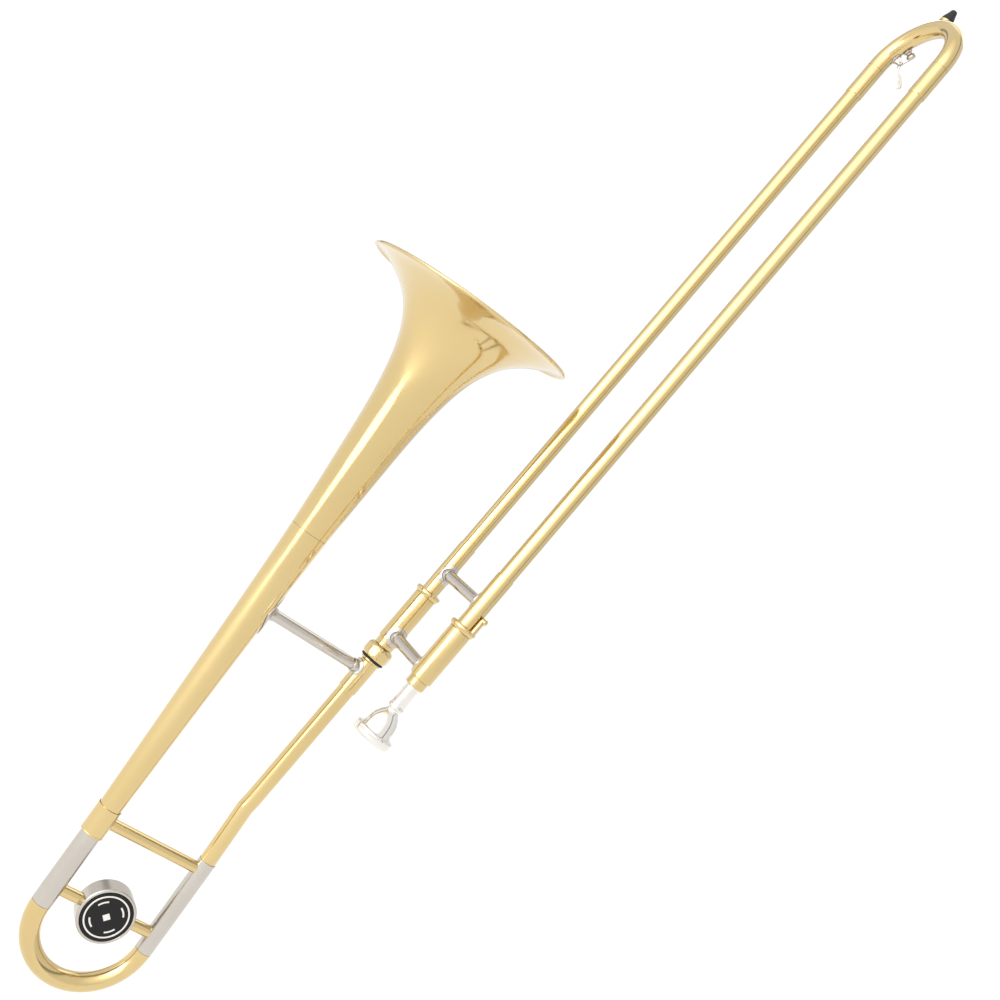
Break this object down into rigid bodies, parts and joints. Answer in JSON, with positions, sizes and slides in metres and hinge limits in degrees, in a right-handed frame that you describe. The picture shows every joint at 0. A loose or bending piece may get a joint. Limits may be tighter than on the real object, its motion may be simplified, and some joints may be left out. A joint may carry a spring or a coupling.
{
  "type": "tenor trombone",
  "caption": "Straight tenor trombone in lacquered brass: telescoping hand slide with bow and water key, flared bell on a tuning slide, counterweight and mouthpiece.",
  "frame": {"origin": "the middle of the hand brace, the cross tube that the left hand holds, halfway between the two tubes of the slide", "axes": "+Z along the slide towards its bow, +Y from the mouthpiece side tube to the bell side tube, -X from the slide towards the bell"},
  "size_m": [0.2732, 0.2041, 1.17],
  "materials": {
    "lacquered_brass": "polished brass under clear gold lacquer",
    "nickel_silver": "polished nickel silver",
    "silver_plate": "bright silver plate",
    "hard_chrome": "ground and polished hard chrome",
    "black_rubber": "matt black moulded rubber",
    "black_plastic": "black, slightly glossy",
    "cork": "natural cork",
    "spring_steel": "blued and polished spring steel"
  },
  "bodies": {
    "inner_slide_section": {"cork_barrel_bell_side": "lacquered_brass", "cork_barrel_mouth_side": "lacquered_brass", "bumper_cork_bell_side": "cork", "bumper_cork_mouth_side": "cork", "slide_stocking_bell_side": "hard_chrome", "slide_stocking_mouth_side": "hard_chrome", "barrel_ring": "lacquered_brass", "inner_slide_tube_bell_side": "hard_chrome", "inner_slide_tube_mouth_side": "hard_chrome", "tenon_collar": "lacquered_brass", "slide_tenon": "nickel_silver", "mouthpiece_receiver": "lacquered_brass", "leadpipe": "lacquered_brass", "hand_brace_flange_bell_side": "nickel_silver", "hand_brace_flange_mouth_side": "nickel_silver", "hand_brace": "nickel_silver"},
    "outer_slide": {"outer_slide_tube_bell_side": "lacquered_brass", "outer_slide_tube_mouth_side": "lacquered_brass", "outer_slide_sleeve_bell_side": "lacquered_brass", "outer_slide_sleeve_mouth_side": "lacquered_brass", "bow_ferrule_bell_side": "lacquered_brass", "bow_ferrule_mouth_side": "lacquered_brass", "outer_brace_flange_bell_side": "nickel_silver", "outer_brace_flange_mouth_side": "nickel_silver", "outer_brace": "nickel_silver", "slide_bow": "lacquered_brass", "bumper_socket": "lacquered_brass", "slide_bumper": "black_rubber", "water_key_nipple": "nickel_silver", "water_key_saddle": "nickel_silver", "water_key_pin": "spring_steel", "slide_lock_lug": "lacquered_brass"},
    "water_key": {"water_key_lever": "nickel_silver", "water_key_cork": "cork", "water_key_spring": "spring_steel"},
    "slide_lock": {"slide_lock_ring": "lacquered_brass"},
    "mouthpiece": {"mouthpiece": "silver_plate"},
    "bell_lock_nut": {"bell_lock_nut": "lacquered_brass"},
    "bell_section": {"bell_receiver": "lacquered_brass", "receiver_gasket": "black_rubber", "gooseneck": "lacquered_brass", "bell_tail": "lacquered_brass", "bell_flare": "lacquered_brass", "bell_rim_bead": "lacquered_brass", "bell_tail_ferrule": "lacquered_brass", "tuning_leg_bell_side": "nickel_silver", "tuning_leg_neck_side": "nickel_silver", "upper_leg_brace": "lacquered_brass", "lower_leg_brace": "lacquered_brass", "counterweight_drum": "nickel_silver", "counterweight_cap": "black_plastic", "counterweight_cap_ring": "silver_plate", "bell_brace_flange_bell": "nickel_silver", "bell_brace_flange_neck": "nickel_silver", "bell_brace": "nickel_silver"},
    "tuning_slide": {"tuning_bow": "lacquered_brass", "tuning_inner_leg_bell_side": "nickel_silver", "tuning_inner_leg_neck_side": "nickel_silver"}
  },
  "joints": [
    {"name": "hand_slide", "type": "slide", "parent": "inner_slide_section", "child": "outer_slide", "axis": [0, 0, 1], "range_m": [0, 0.56]},
    {"name": "water_key_pivot", "type": "hinge", "parent": "outer_slide", "child": "water_key", "pos_m": [0.01032, 0.03317, 0.6929], "axis": [0.5736, 0.7595, 0.3069], "range_deg": [0, 20], "stiffness_Nm_per_rad": 0.01, "springref_deg": -57.3},
    {"name": "slide_lock_turn", "type": "hinge", "parent": "inner_slide_section", "child": "slide_lock", "pos_m": [0, -0.043, 0.0475], "axis": [0, 0, 1], "range_deg": [0, 25]},
    {"name": "mouthpiece_pull", "type": "slide", "parent": "inner_slide_section", "child": "mouthpiece", "axis": [0, 0, -1], "range_m": [0, 0.03]},
    {"name": "lock_nut_turn", "type": "hinge", "parent": "inner_slide_section", "child": "bell_lock_nut", "pos_m": [0, 0.043, -0.0215], "axis": [0, 0, 1], "range_deg": [0, 720]},
    {"name": "bell_section_turn", "type": "hinge", "parent": "inner_slide_section", "child": "bell_section", "pos_m": [0, 0.043, -0.05], "axis": [0, 0, 1], "range_deg": [-20, 20]},
    {"name": "tuning_slide_pull", "type": "slide", "parent": "bell_section", "child": "tuning_slide", "axis": [0.0898, 0, -0.996], "range_m": [0, 0.05]}
  ]
}
